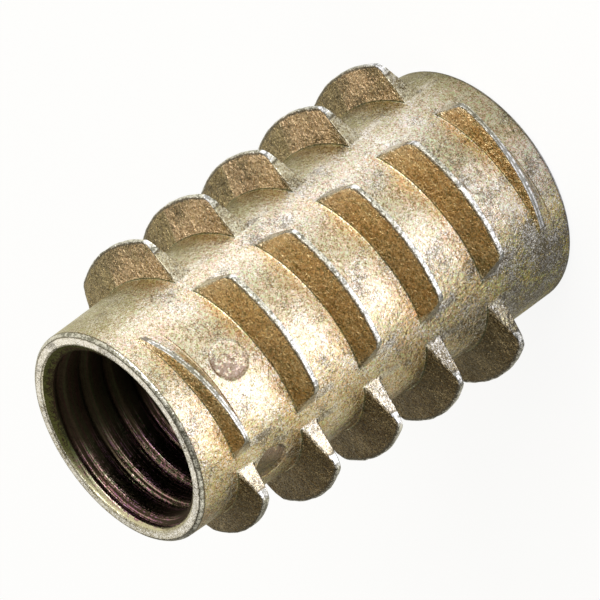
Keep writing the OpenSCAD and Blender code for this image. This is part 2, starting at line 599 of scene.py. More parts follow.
def wrapping_tree():
    """The rule that bends each copy of the stamp round the core, at its place on the helix."""
    tree, size, asked = new_tree(
        "wrap_ribs", "Geometry", ("Geometry", "Material", *RIB_INPUTS), ("Geometry",))
    cells = stamped(tree, size["Geometry"])
    x, foot, height = split(tree, here(tree))
    rib = attribute(tree, "rib")
    share = rib_share(rib, x, size)

    # Height: the ribs from each slide stand a little higher or lower.
    row = rib - (rib / SLIDES).apply("FLOOR") * SLIDES
    extra = size["Extra on lower slide"] * row.equals(1)
    extra = extra + size["Extra on back slide"] * row.equals(2)
    extra = extra + size["Extra on upper slide"] * row.equals(3)
    rise = height * share / size["Rib height"]
    lift = rise * (size["Rib height"] + extra)

    # Reach: on the far side it grows towards the drive end.
    z_foot = LENGTH - size["First rib depth"] - rib * size["Pitch"] / SLIDES + foot
    depth_share = (LENGTH - z_foot) / LENGTH
    far = size["Far reach at entry"]
    far = far + (size["Far reach at drive"] - far) * depth_share
    reach = size["Reach"] + (far - size["Reach"]) * x.above(0)

    # Turn: first out to the rib's end, then over the gap, halfway to the next rib.
    inner = x.apply("ABSOLUTE").lowest(1)
    outer = (x.apply("ABSOLUTE") - 1).held()
    core = core_radius(z_foot)
    side = inner * reach * (1 - outer) + outer * core * math.sin(math.pi / SLIDES)
    side = side * x.apply("SIGN")
    turn = (side / (core + lift)).apply("ARCSINE")

    # Place along the axis: the helix, the section's lean, and thinner ribs at both ends.
    climb = 1 - (1 - size["Crest rise"]) * rise
    thinned = rib.equals(0) * LEAD_THINNING + rib.above(size["Last rib"] - 0.5)
    thinned = attribute(tree, "back") * (1 - share) * thinned
    z = z_foot + attribute(tree, "lean") * share + thinned + turn * size["Pitch"] / math.tau * climb
    z = z - row.equals(3) * x.held() * rise * size["Far facet turn"]

    angle = turn + FIRST_DIRECTION - rib * (math.tau / SLIDES)
    cells = kept_on_ribs(tree, cells, share)
    placed = place(tree, cells, core_radius(z) + lift, angle, z)
    finish_tree(tree, wavy(tree, welded(tree, placed), size), size["Material"], asked)
    return tree


coating = bpy.data.materials.new("yellow_plated_zinc")
skin = grown(stamp, wrapping_tree(), RIB_INPUTS, coating)
print("outer skin:", len(skin.polygons), "faces")

# %% [markdown]
# ## The machine thread
#
# A tap cuts this thread after casting. It is a groove that climbs one pitch in
# a turn, so it also follows a rule: a flat grid is rolled into a tube, sheared
# by one pitch in a turn, and each point is pushed out to the groove's section.
# A countersink at each end stops the thread from having a feather edge.

# %% The thread tree
ROWS_PER_PITCH = 20
THREAD_COLUMNS = 96
GROOVE_FLAT = MACHINE_PITCH / 8
HALF_ANGLE = math.radians(30)
FLANK = (GROOVE_RADIUS - BORE_RADIUS) * math.tan(HALF_ANGLE)
SPARE_TURNS = 2
TURNS_BELOW = 1.5
CREST_FLAT = MACHINE_PITCH - GROOVE_FLAT - 2 * FLANK
LINE_WIDTH = 0.4
THREAD_INPUTS = {
    "Pitch": MACHINE_PITCH,
    "Minor radius": BORE_RADIUS,
    "Major radius": GROOVE_RADIUS,
    "Crest bulge": 0.05,
    "Top": LENGTH,
    "Top radius": MOUTH_RADIUS,
    "Mouth sink": 0.16,
    "Floor": HEX_DEPTH,
    "Floor radius": 5.0,
}


def thread_tree():
    """The rule that rolls a flat grid into the tapped thread, with its two countersinks."""
    tree, size, asked = new_tree(
        "tap_thread", "Geometry", ("Geometry", "Material", *THREAD_INPUTS), ("Geometry",))
    turns = math.ceil((LENGTH - HEX_DEPTH) / MACHINE_PITCH) + SPARE_TURNS
    length = turns * MACHINE_PITCH
    grid = add_node(tree, "GeometryNodeMeshGrid", {
        "Size X": 1.0, "Size Y": length,
        "Vertices X": THREAD_COLUMNS + 1, "Vertices Y": turns * ROWS_PER_PITCH + 1})

    # A point's place round the axis and along the helix.
    across_grid, up_grid, _ = split(tree, here(tree))
    around = across_grid + 0.5
    along = up_grid + length / 2
    z = HEX_DEPTH - TURNS_BELOW * MACHINE_PITCH + along + around * size["Pitch"]

    # The section: a crest, a flank and the flat floor of the groove.
    from_crest = along.calc("PINGPONG", along, size["Pitch"] / 2)
    depth = ((from_crest - CREST_FLAT / 2) / FLANK).held()
    across = (from_crest / (CREST_FLAT / 2)).lowest(1)
    crest = size["Minor radius"] + across * across * size["Crest bulge"]
    radius = crest + (size["Major radius"] - crest) * depth
    corner = (from_crest - CREST_FLAT / 2).apply("ABSOLUTE")
    lined = store(tree, grid.outputs[0], "line", (1 - corner / LINE_WIDTH).held())
    lined = store(tree, lined, "phase", along)

    # The countersinks at the mouth and above the hex socket.
    from_top = (size["Top"] - z) / size["Mouth sink"]
    top_sink = size["Top radius"] - from_top * from_top * (MOUTH_RADIUS - GROOVE_RADIUS)
    low_sink = size["Floor radius"] - (z - size["Floor"])
    radius = radius.highest(top_sink).highest(low_sink)

    placed = place(tree, lined, radius, around * math.tau, z)
    flipped = add_node(tree, "GeometryNodeFlipFaces", {0: welded(tree, placed)})
    finish_tree(tree, flipped.outputs[0], size["Material"], asked)
    return tree


lining_coat = bpy.data.materials.new("plated_lining")
thread = grown(bpy.data.meshes.new("blank"), thread_tree(), THREAD_INPUTS, lining_coat)
print("machine thread:", len(thread.polygons), "faces")

# %% [markdown]
# ## Closing the shell
#
# The skin and the thread are sawn off square at both ends. From each cut, rings
# carry the surface round the rolled edges and over the faces, and a strip of
# triangles joins it to the bore. The hex socket is a stack of rings too, each
# worked out as the wider of the hexagon and its lead-in bevel.

# %% Rings and strips
EDGE_STEPS = 6
RIM_WEAR = 0.95
NEAR = 1e-4


def turn_of(vert):
    """The direction of a point from the axis."""
    return math.atan2(vert.co.y, vert.co.x)


def saw_off(bm, height, upper):
    """Cuts away everything above a height, or below it."""
    everything = bm.verts[:] + bm.edges[:] + bm.faces[:]
    bmesh.ops.bisect_plane(bm, geom=everything, plane_co=(0, 0, height), plane_no=(0, 0, 1),
                           clear_outer=upper, clear_inner=not upper, dist=NEAR)


def cut_edge(bm, height):
    """The points of the open edge at a height, in the order of their turn."""
    rim = [v for v in bm.verts if v.is_boundary and abs(v.co.z - height) < NEAR]
    return sorted(rim, key=turn_of)


def new_ring(bm, turns, radii, z):
    """New points at some turns, each at its radius."""
    return [bm.verts.new((r * math.cos(turn), r * math.sin(turn), z))
            for turn, r in zip(turns, radii)]


def join(bm, ring_a, ring_b):
    """Joins two rings whose points stand at the same turns."""
    for i in range(len(ring_a)):
        bm.faces.new((ring_a[i - 1], ring_a[i], ring_b[i], ring_b[i - 1]))


def ring_like(bm, ring, radius, z):
    """A new round ring at the same turns as an old one, joined to it."""
    made = new_ring(bm, [turn_of(vert) for vert in ring], [radius] * len(ring), z)
    join(bm, ring, made)
    return made


def strip(bm, ring_a, ring_b):
    """Joins two rings whose points stand at different turns, with triangles."""
    i = j = 0
    while i < len(ring_a) or j < len(ring_b):
        next_a = turn_of(ring_a[i]) if i < len(ring_a) else math.inf
        next_b = turn_of(ring_b[j]) if j < len(ring_b) else math.inf
        if next_a <= next_b:
            bm.faces.new((ring_a[i - 1], ring_a[i], ring_b[j - 1]))
            i += 1
        else:
            bm.faces.new((ring_b[j], ring_b[j - 1], ring_a[i - 1]))
            j += 1


def round_edge(bm, ring, radius, z, size, upward):
    """Carries a ring round a rolled outer edge, onto the end face. The edge is worn."""
    wear = bm.verts.layers.float["wear"]
    for step in range(1, EDGE_STEPS + 1):
        angle = math.pi / 2 * step / EDGE_STEPS
        rise = size * math.sin(angle) * (1 if upward else -1)
        ring = ring_like(bm, ring, radius - size * (1 - math.cos(angle)), z + rise)
        for vert in ring:
            vert[wear] = RIM_WEAR * math.sin(2 * angle)
    return ring


print("rolled edges, mm:", ENTRY_ROUND, DRIVE_ROUND)

# %% [markdown]
# ## The marks of the ejector pins
#
# Pins push the casting off the core of the mould, and each leaves a shallow
# round mark on the skin. They could be painted, but a mark that is really sunk
# catches the light along its edge. So the skin is cut finer near each pin and
# its points are moved in. Each point keeps two values for the finish: how near
# it is to the mark's edge, and how dark it is, which is stain and painted shade
# that grows towards one side of the sunk mark.

# %% Press the pin marks
# Turn in degrees, depth below the entry end, radius, how far it is sunk, and how dark it is, as
# stain and painted shade.
PINS = (
    (-1.1, 4.14, 1.0, 0.06, 0.58),
    (-2.9, 20.87, 0.78, 0.05, 0.0),
    (59.0, 4.50, 0.95, 0.10, 1.0),
)
PIN_EDGE = 0.09
FINER_WITHIN = 1.2
FINER_CUTS = 3
MARK_WITHIN = 1.5
PIN_SHADE_SIDE = Vector((-0.82, 0.29, 0.49))


def press_pins(bm):
    """Sinks the round marks of the ejector pins a little into the skin."""
    mark = bm.verts.layers.float.new("pin")
    stain_and_shade = bm.verts.layers.float.new("stain_and_shade")
    for turn, depth, radius, sink, darkness in PINS:
        angle = FIRST_DIRECTION - math.radians(turn)
        z = LENGTH - depth
        r = core_radius(z)
        middle = Vector((r * math.cos(angle), r * math.sin(angle), z))
        edges = [e for e in bm.edges
                 if min((v.co - middle).length for v in e.verts) < radius * FINER_WITHIN]
        bmesh.ops.subdivide_edges(bm, edges=edges, cuts=FINER_CUTS, use_grid_fill=True)
        for vert in bm.verts:
            away = (vert.co - middle).length
            if away < radius * MARK_WITHIN:
                inside = clamp((radius - away) / PIN_EDGE)
                vert[mark] = MARK_WITHIN - away / radius
                # The darkness grows towards one side of the mark: painted shade in the sunk mark.
                vert[stain_and_shade] = darkness * (1 + (vert.co - middle).dot(PIN_SHADE_SIDE) / radius / 2)
                vert.co.xy *= 1 - sink * inside / vert.co.xy.length


print("pin marks:", len(PINS))

# %% [markdown]
# ## One closed shell
#
# A casting has no inside faces, so the skin, the thread, the rolled edges and
# the socket become one closed mesh. Its volume can then be checked against the
# real amount of metal, and every normal points out of the metal.

# %% Build the shell
MOUTH_LIP = 0.07
FACE_INSET = 0.12
SOCKET_STEP = 5
SOCKET_LEVELS = (HEX_BEVEL / 2, HEX_BEVEL, HEX_DEPTH / 3, HEX_DEPTH * 2 / 3, HEX_DEPTH)
CUTS = {
    "entry": LENGTH - ENTRY_ROUND,
    "drive": DRIVE_ROUND,
    "mouth": LENGTH - MOUTH_LIP,
    "floor": HEX_DEPTH,
}


def hex_radius(turn):
    """Distance from the axis to the hexagon's wall, in a direction."""
    sixth = math.tau / 6
    return HEX_FLATS / 2 / math.cos(turn % sixth - sixth / 2)


def socket_ring(bm, z):
    """One ring of the hex socket at height z, with a point in each of its corners."""
    turns = sorted(math.remainder(math.radians(SOCKET_STEP * i), math.tau)
                   for i in range(360 // SOCKET_STEP))
    radii = [max(hex_radius(turn), HEX_FLATS / 2 + HEX_BEVEL - z) for turn in turns]
    return new_ring(bm, turns, radii, z)


def close_entry(bm, outer, inner):
    """The rolled edge and the narrow face of the entry end, down to the thread."""
    z = CUTS["entry"]
    ring = round_edge(bm, outer, core_radius(z), z, ENTRY_ROUND, True)
    face = ring_like(bm, ring, MOUTH_RADIUS + FACE_INSET, LENGTH)
    lip = ring_like(bm, face, MOUTH_RADIUS + MOUTH_LIP / 3, LENGTH)
    strip(bm, lip, inner)


def close_drive(bm, outer, inner):
    """The rolled edge and the face of the drive end, and the socket down to the thread."""
    ring = round_edge(bm, outer, core_radius(DRIVE_ROUND), DRIVE_ROUND, DRIVE_ROUND, False)
    mouth = socket_ring(bm, 0.0)
    strip(bm, ring, mouth)
    for z in SOCKET_LEVELS:
        deeper = socket_ring(bm, z)
        join(bm, mouth, deeper)
        mouth = deeper
    strip(bm, mouth, inner)


def insert_shell():
    """The whole casting as one closed mesh, in millimetres."""
    bm = bmesh.new()
    parts = ((skin, "entry", "drive"), (thread, "mouth", "floor"))
    for index, (mesh, top, bottom) in enumerate(parts):
        part = bmesh.new()
        part.from_mesh(mesh)
        saw_off(part, CUTS[top], True)
        saw_off(part, CUTS[bottom], False)
        for face in part.faces:
            face.material_index = index
        part.to_mesh(mesh)
        part.free()
        bm.from_mesh(mesh)
    bm.verts.ensure_lookup_table()
    edges = {name: cut_edge(bm, height) for name, height in CUTS.items()}
    close_entry(bm, edges["entry"], edges["mouth"])
    close_drive(bm, edges["drive"], edges["floor"])
    press_pins(bm)
    bmesh.ops.recalc_face_normals(bm, faces=bm.faces[:])
    open_edges = [e for e in bm.edges if not e.is_manifold]
    print("rings:", {k: len(v) for k, v in edges.items()}, "open edges:", len(open_edges))
    print("volume, mm3:", round(bm.calc_volume(signed=True), 1))
    for face in bm.faces:
        face.smooth = True
    mesh = bpy.data.meshes.new("insert")
    mesh.materials.append(coating)
    mesh.materials.append(lining_coat)
    bm.to_mesh(mesh)
    bm.free()
    mesh.transform(Matrix.Scale(MM, 4))
    return mesh


insert = bpy.data.objects.new("insert", insert_shell())
bpy.context.scene.collection.objects.link(insert)
print("insert:", len(insert.data.polygons), "faces")

# %% [markdown]
# ## Rules for the finish
#
# The finish of the real part isn't a picture. It is a few effects laid one on
# the other: the grain of the casting, a thin coloured film, dark specks and bare
# edges. Each effect becomes a shader group of its own that gives a mask or a
# height, so the skin and the lining can share it. A picture would have to be
# unwrapped over every rib, and it would blur close up. These helpers make the
# groups and the nodes that all of them use.

# %% Helpers for materials
# Every noise has its own seed, so that no two patterns are alike.
SEED = {
    "fine grain": 1.0, "coarse grain": 2.0, "slide lines": 3.0, "fold": 4.0,
    "film patches": 5.0, "middling grain": 6.0, "ragged wear": 7.0,
    "specks": 11.0, "speck patches": 12.0, "pin blotches": 21.0, "dull metal": 31.0,
    "scores": 41.0, "tints": 42.0, "hue": 51.0, "pits": 61.0,
}
GIVE_NUMBERS = ("DOT_PRODUCT", "DISTANCE")
# A Mix node has sockets for each kind of value. These are the ones for colours.
MIX_FIRST = 6
MIX_SECOND = 7
MIX_RESULT = 2


def put_out(asked, **results):
    """Links a group's results to its outputs."""
    for label, value in results.items():
        value.tree.links.new(value.socket, asked[label])


def use_group(tree, group, inputs):
    """Places a group in a material, and gives its outputs by name."""
    node = add_node(tree, "ShaderNodeGroup", inputs, node_tree=group)
    return {socket.name: Field(tree, socket) for socket in node.outputs}


def noise(where, size, seed, detail=2.0, roughness=0.5, distortion=0.0):
    """Smooth random values, about 0.5. size is the width of a feature."""
    return value_of(where.tree, "ShaderNodeTexNoise", {
        "Vector": where, "W": SEED[seed], "Scale": 1 / size, "Detail": detail,
        "Roughness": roughness, "Distortion": distortion}, noise_dimensions="4D")


def ramp(value, low, high):
    """A smooth step: 0 up to low, 1 from high."""
    return value_of(value.tree, "ShaderNodeMapRange", {0: value, 1: low, 2: high},
                    interpolation_type="SMOOTHSTEP")


def mixed(tree, share, first, second, way):
    """Two colours mixed in one of the Mix node's ways, as far as share says."""
    return value_of(tree, "ShaderNodeMix", {0: share, MIX_FIRST: first, MIX_SECOND: second},
                    MIX_RESULT, data_type="RGBA", blend_type=way)


def blend(share, first, second):
    """A colour between two."""
    return mixed(share.tree, share, first, second, "MIX")


def tinted(share, colour, tint):
    """A colour multiplied by a tint, as far as share says."""
    return mixed(colour.tree, share, colour, tint, "MULTIPLY")


def vector_math(operation, *vectors):
    """A sum of vectors. It gives a number for a dot product or a distance."""
    output = "Value" if operation in GIVE_NUMBERS else "Vector"
    return value_of(vectors[0].tree, "ShaderNodeVectorMath", dict(enumerate(vectors)), output,
                    operation=operation)


def stored(tree, name):
    """A value that the mesh keeps at its points, read in a material."""
    return value_of(tree, "ShaderNodeAttribute", output="Fac", attribute_name=name)


def millimetres(tree):
    """Where a point is on the piece, in millimetres."""
    spot = value_of(tree, "ShaderNodeTexCoord", output="Object")
    return vector_math("MULTIPLY", spot, (1 / MM, 1 / MM, 1 / MM))


print("materials:", [m.name for m in (coating, lining_coat)], "noises:", len(SEED))

# %% [markdown]
# ## The cast grain
#
# Molten zinc freezes against a steel mould, and it copies the mould's fine
# scratches and leaves wrinkles where two flows met. Three sizes of noise stand
# for the pebbles. A fourth is stretched along the axis for the marks of the
# sliding moulds. Folding a noise about its middle makes thin crooked lines.
# The group gives a height for the bump and masks for the colour: most of what
# the eye takes for grain is a change of tone, and the bump only adds to it.

# %% The cast grain
CROOKED = {"detail": 2.0, "roughness": 0.6, "distortion": 1.6}
ALONG_AXIS = (1, 1, 0.08)
MIDDLING_SIZE = 2.2
COARSE_SIZE = 3.0
LINE_SIZE = 1.2
FOLD_SIZE = 1.3
FINE_HEIGHT = 0.5
COARSE_HEIGHT = 1.5
FINE_SHARE = 0.55
WRINKLE_WIDTH = 0.06
PEBBLE_EDGE = (0.43, 0.57)


def grain_group():
    """The skin of a die casting: pebbled and wrinkled, with faint lines along the axis."""
    tree, given, asked = new_tree("cast_grain", "Shader", ("Place", "Size", "Lines"),
                                  ("Grain", "Wrinkle", "Relief"))
    where, size, lined = given.values()
    fine = noise(where, size, "fine grain", **CROOKED)
    middling = noise(where, size * MIDDLING_SIZE, "middling grain", **CROOKED)
    coarse = noise(where, size * COARSE_SIZE, "coarse grain", distortion=1.0)
    lines = noise(vector_math("MULTIPLY", where, ALONG_AXIS), size * LINE_SIZE, "slide lines")
    fold = noise(where, size * FOLD_SIZE, "fold", detail=1.0, distortion=2.2) - 0.5
    pebbles = fine * FINE_SHARE + middling * (1 - FINE_SHARE)
    relief = (fine * (1 - lined) + lines * lined) * FINE_HEIGHT + coarse * COARSE_HEIGHT
    put_out(asked,
            Grain=ramp(pebbles, *PEBBLE_EDGE),
            Wrinkle=ramp(fold.apply("ABSOLUTE"), WRINKLE_WIDTH, 0.0),
            Relief=relief)
    return tree


cast_grain = grain_group()
print("cast grain:", len(cast_grain.nodes), "nodes")

# %% [markdown]
# ## The film
#
# Yellow chromate is a clear film less than a thousandth of a millimetre thick.
# Its colour is made by interference, so it follows the thickness: cream, then
# yellow, pink and green. A thin-film shader could work this out, but its hues
# are hard to steer. Here a thickness drifts in patches and from grain to grain,
# and is looked up on a short scale of colours. The pockets between the ribs
# keep more of the bath and turn brown, and the tapped thread turns purple.

# %% The film
FILM = (
    (0.26, (0.60, 0.56, 0.30, 1)),
    (0.36, (0.98, 0.82, 0.56, 1)),
    (0.44, (1.00, 0.76, 0.50, 1)),
    (0.50, (1.00, 0.90, 0.76, 1)),
    (0.57, (1.00, 0.58, 0.56, 1)),
    (0.65, (1.00, 0.84, 0.62, 1)),
    (0.76, (0.70, 0.78, 0.52, 1)),
)
POCKET_FILM = (
    (0.30, (0.26, 0.23, 0.08, 1)),
    (0.42, (0.36, 0.22, 0.08, 1)),
    (0.54, (0.45, 0.22, 0.08, 1)),
    (0.68, (0.58, 0.34, 0.12, 1)),
)
# The colours of the painted highlight lines in the thread.
THREAD_FILM = (
    (0.36, (0.30, 0.52, 0.22, 1)),
    (0.45, (0.85, 0.78, 0.66, 1)),
    (0.54, (0.88, 0.45, 0.50, 1)),
    (0.64, (0.60, 0.30, 0.55, 1)),
)
FILM_CONTRAST = 1.5


def colours_along(value, stops):
    """Colours laid along a value from 0 to 1."""
    node = add_node(value.tree, "ShaderNodeValToRGB", {0: value})
    elements = node.color_ramp.elements
    while len(elements) < len(stops):
        elements.new(0.5)
    for element, (position, colour) in zip(elements, stops):
        element.position = position
        element.color = colour
    return Field(value.tree, node.outputs[0])


def film_group():
    """Thickness of the plating's film: it drifts in patches, and again from grain to grain."""
    tree, given, asked = new_tree("film_thickness", "Shader",
                                  ("Place", "Patch", "Grain", "In grain"), ("Thickness",))
    where, patch, grain, in_grain = given.values()
    patches = noise(where, patch, "film patches", detail=3.0, roughness=0.65)
    thickness = patches * (1 - in_grain) + grain * in_grain
    put_out(asked, Thickness=(thickness - 0.5) * FILM_CONTRAST + 0.5)
    return tree


film_thickness = film_group()
print("film:", len(FILM), "colours on the skin,", len(POCKET_FILM), "in the pockets")

# %% [markdown]
# ## Specks
#
# Dirt from the bath stays in the small pits, so dark specks crowd in some places
# and are rare in others. One noise makes the spots, and a broader one raises or
# lowers their number. The same group makes the light glints on the grain.

# %% Specks
SPECK_EDGE = (0.50, 0.56)


def speck_group():
    """Small spots, dense in some patches and rare in others."""
    tree, given, asked = new_tree("specks", "Shader",
                                  ("Place", "Size", "Patch", "Amount", "Unevenness"), ("Mask",))
    where, size, patch, amount, unevenness = given.values()
    spots = noise(where, size, "specks", roughness=0.7, distortion=1.5)
    patches = noise(where, patch, "speck patches", detail=3.0, roughness=0.6)
    level = spots + amount + (patches - 0.5) * unevenness
    put_out(asked, Mask=ramp(level, *SPECK_EDGE))
    return tree


specks = speck_group()
print("specks:", len(specks.nodes), "nodes")

# %% [markdown]
# ## Wear
#
# Parts are tumbled and packed loose, and their crests rub first. Each point of
# the mesh knows how near it is to an edge that wears. Noise makes the limit of
# the bare metal ragged, and a thin dark border is left round it where the film
# is broken but not gone.

# %% Wear
RAGGED_SIZE = 0.3
BARE_EDGE = (0.62, 0.80)
BORDER_EDGE = (0.30, 0.55)


def wear_group():
    """Where an edge has lost its plating. Edge is 1 on the edge itself."""
    tree, given, asked = new_tree("edge_wear", "Shader", ("Edge", "Place", "Spread"),
                                  ("Bare", "Border"))
    edge, where, spread = given.values()
    ragged = noise(where, RAGGED_SIZE, "ragged wear", detail=4.0, roughness=0.75)
    reach = edge + (ragged - 0.5) * spread
    bare = ramp(reach, *BARE_EDGE)
    put_out(asked, Bare=bare, Border=ramp(reach, *BORDER_EDGE) * (1 - bare))
    return tree


edge_wear = wear_group()
print("wear:", len(edge_wear.nodes), "nodes")

# %% [markdown]
# ## The plated skin
#
# The film covers metal, so the whole skin is metallic and the film only tints
# what it reflects. The layers go on in this order: film, brown pockets, grain,
# specks and painted glints, stains and painted shade of the pins, and last the
# wear. Many tones change along X as painted light and shade: the -X side and its
# collar are painted darker and warmer, with more dark specks, and the rib flanks
# are painted lighter on the +X side and darker on the -X side.

# %% Colours of the skin
SPECK = (0.12, 0.09, 0.045, 1)
GLINT = (1.0, 0.98, 0.92, 1)
WARM_GLINT = (1.0, 0.80, 0.48, 1)
# Painted shade: the -X side is tinted darker and warmer, as the side in shade.
SHADED_SIDE_TINT = (1.0, 0.90, 0.58, 1)
# Painted shade on the collar's -X side, near the drive end.
SHADED_COLLAR_TINT = (0.86, 0.94, 0.50, 1)
PINK = (1.0, 0.86, 0.96, 1)
GREEN = (0.90, 1.0, 0.88, 1)
# Painted warm glow on the land beside each rib's front root.
ROOT_GLOW_TINT = (1.0, 0.86, 0.62, 1)
# A painted highlight along the crease of the +X ribs' flanks.
CREASE_HIGHLIGHT_TONE = (1.0, 0.90, 0.66, 1)
# Painted light: the flanks of the +X ribs are lighter.
LIT_UPPER_POCKET = (1.0, 0.76, 0.54, 1)
# Painted shade: the flanks of the -X ribs are nearly black.
SHADED_LOWER_POCKET = (0.07, 0.043, 0.016, 1)
# Painted shade on the far facet of the +X ribs' flanks.
SHADED_FAR_FACET = (0.44, 0.37, 0.20, 1)
OLIVE_CORE = (0.36, 0.335, 0.12, 1)
SILVER = (0.95, 0.95, 0.93, 1)
DULL_SILVER = (0.30, 0.30, 0.27, 1)
DARK_BORDER = (0.15, 0.13, 0.10, 1)
# Painted highlight along the root fillet of each rib.
ROOT_HIGHLIGHT = (0.66, 0.92, 0.66, 1)
RIM_BRONZE = (1.0, 0.95, 0.82, 1)
RIM_OLIVE = (0.40, 0.35, 0.20, 1)
PIN_RING = (0.20, 0.14, 0.09, 1)
PIN_BLOTCH = (0.26, 0.18, 0.14, 1)
GRAIN_SHADE = (0.42, 0.31, 0.20, 1)
END_METAL = (0.86, 0.82, 0.68, 1)
print("bare metal:", SILVER[:3], "pocket:", LIT_UPPER_POCKET[:3])

# %% Where each tone lies
# Each pair says where a tone starts and where it is full, in millimetres.
# Painted shade on the -X side.
SHADED_SIDE_X = (-0.5, -4.0)
# Painted shade on the collar, on the -X side near the drive end.
SHADED_COLLAR_X = (-1.5, -4.5)
SHADED_COLLAR_Z = (9.0, 3.0)
OLIVE_X = (4.0, 6.0)
OLIVE_ENTRY_X = (3.2, 5.2)
OLIVE_ENTRY_Z = (18.5, 22.5)
# Painted light on the +X flanks, and painted shade on the -X flanks.
LIT_UPPER_POCKET_X = (2.0, 5.0)
SHADED_LOWER_POCKET_X = (-3.0, -5.5)
# Painted shade on the far facet of the +X flanks, and a painted highlight on their crease.
SHADED_FAR_FACET_Y = (-0.05, 0.1)
CREASE_HIGHLIGHT_Y = (0.12, 0.02)
RIM_Z = (LENGTH - 0.16, LENGTH - 0.04)
RIM_OLIVE_Y = (-0.5, 4.5)
SIDE_RIBS_X = (3.5, 5.0)
MIDDLE_RIBS_X = (4.5, 3.0)
# Where dark specks gather, and where there are few. On the low side and towards the drive end they
# are partly painted shade.
LOW_SIDE_X = (-2.5, -5.5)
DRIVE_HALF_Z = (14.0, 9.0)
LOW_DRIVE_X = (-0.5, -4.5)
LOW_DRIVE_Z = (14.0, 3.0)
UPPER_RIBS_X = (3.0, 5.0)
CLEAN_SIDE_X = (-1.0, 4.0)
# Where the glints are dim, and where the skin is rough.
DIM_GLINT_X = (-2.5, -5.0)
ROUGH_X = (-1.5, -4.5)
ROUGH_Z = (12.0, 4.0)

# How far a layer hides what is under it, from 0 to 1.
SHARE = {
    "olive": 0.85, "olive at entry": 0.70, "pocket": 0.92, "shaded lower pocket": 0.90,
    "crease_highlight": 0.60, "end": 0.60, "grain": 0.75, "pits": 0.75, "specks": 0.92,
    "wrinkles": 0.40, "glints": 0.80, "stain_and_shade": 0.85, "root": 0.80, "border": 0.90,
    "bare": 0.92,
}
# What each place adds to the level of the dark specks. A speck's edge is 0.06 wide,
# so 0.05 is a lot.
# The low side, the drive half and the low drive end add specks that are partly painted shade.
DIRT_AND_SHADE = {
    "everywhere": -0.07, "low side": 0.02, "drive half": 0.025, "low drive end": 0.11,
    "upper ribs": 0.10, "clean side": -0.04, "middle ribs": -0.10, "rim": 0.04, "end": 0.08,
}
print("layers:", len(SHARE))

# %% Film, pockets and dirt
HUE_SIZE = 0.13
HUE_EDGE = (0.40, 0.60)


def pocket_colour(thickness, x, y):
    """The film on a rib's flank, which sits in a pocket: thicker, so brown and olive.
    On the +X ribs it is painted lighter as lit, with painted shade on the far facet and a painted
    highlight on the crease; on the -X ribs it is painted nearly black as shade.
    """
    # Painted light on the +X flanks, painted shade on the -X flanks.
    upper = ramp(x, *LIT_UPPER_POCKET_X)
    far = upper * ramp(y, *SHADED_FAR_FACET_Y)
    crease_highlight = upper * ramp(y.apply("ABSOLUTE"), *CREASE_HIGHLIGHT_Y)
    colour = blend(upper, colours_along(thickness, POCKET_FILM), LIT_UPPER_POCKET)
    colour = blend(ramp(x, *SHADED_LOWER_POCKET_X) * SHARE["shaded lower pocket"], colour, SHADED_LOWER_POCKET)
    colour = blend(far, colour, SHADED_FAR_FACET)
    return blend(crease_highlight * SHARE["crease_highlight"], colour, CREASE_HIGHLIGHT_TONE)


def film_colour(tree, where, thickness, x, z):
    """The film on the lands, with its drifts of hue, painted warmer shade on the -X side and its
    collar, and a painted warm glow by the ribs.
    """
    hue = ramp(noise(where, HUE_SIZE, "hue", distortion=1.0), *HUE_EDGE)
    colour = tinted(1.0, colours_along(thickness, FILM), blend(hue, PINK, GREEN))
    # Painted shade: darker and warmer towards -X.
    colour = tinted(ramp(x, *SHADED_SIDE_X), colour, SHADED_SIDE_TINT)
    # A painted warm glow beside each rib's front root.
    colour = tinted(stored(tree, "root_glow"), colour, ROOT_GLOW_TINT)
    # Painted shade on the collar's -X side.
    return tinted(ramp(x, *SHADED_COLLAR_X) * ramp(z, *SHADED_COLLAR_Z), colour, SHADED_COLLAR_TINT)


def dirt_and_shade_level(x, z, flank, rim, end):
    """How many dark specks a place has, and how much of that belongs to the low side and the drive
    half, where it is partly painted shade.
    """
    low = ramp(x, *LOW_SIDE_X) * DIRT_AND_SHADE["low side"] + ramp(z, *DRIVE_HALF_Z) * DIRT_AND_SHADE["drive half"]
    low = low + ramp(x, *LOW_DRIVE_X) * ramp(z, *LOW_DRIVE_Z) * DIRT_AND_SHADE["low drive end"]
    level = low + ramp(x, *UPPER_RIBS_X) * DIRT_AND_SHADE["upper ribs"] * flank
    level = level + ramp(x, *CLEAN_SIDE_X) * DIRT_AND_SHADE["clean side"]
    level = level + flank * ramp(x.apply("ABSOLUTE"), *MIDDLE_RIBS_X) * DIRT_AND_SHADE["middle ribs"]
    return level + rim * DIRT_AND_SHADE["rim"] + end * DIRT_AND_SHADE["end"] + DIRT_AND_SHADE["everywhere"], low


print("hue drifts, mm:", HUE_SIZE, "places of dirt:", len(DIRT_AND_SHADE) - 1)

# %% Paint the skin
FILM_PATCH = 1.5
FILM_IN_GRAIN = 0.42
PIT_SIZE = 0.15
PIT_EDGE = (0.53, 0.45)
RIM_TILT = 0.4
RIM_SHADE = 0.6
FLANK_SHADE = 0.3
SPECK_SIZE = 0.11
SPECK_GROWTH = 0.4
DARK_SPECKS = {"Patch": 1.7, "Unevenness": 0.95}
LIGHT_SPECKS = {"Size": 0.10, "Patch": 1.2, "Unevenness": 0.3}
GLINT_AMOUNT = -0.03
GLINTS_ON_RIM = 0.08
DIM_GLINT = 0.45
DIM_OLIVE = 0.4
MIRRORED = (-1, 1, 1)


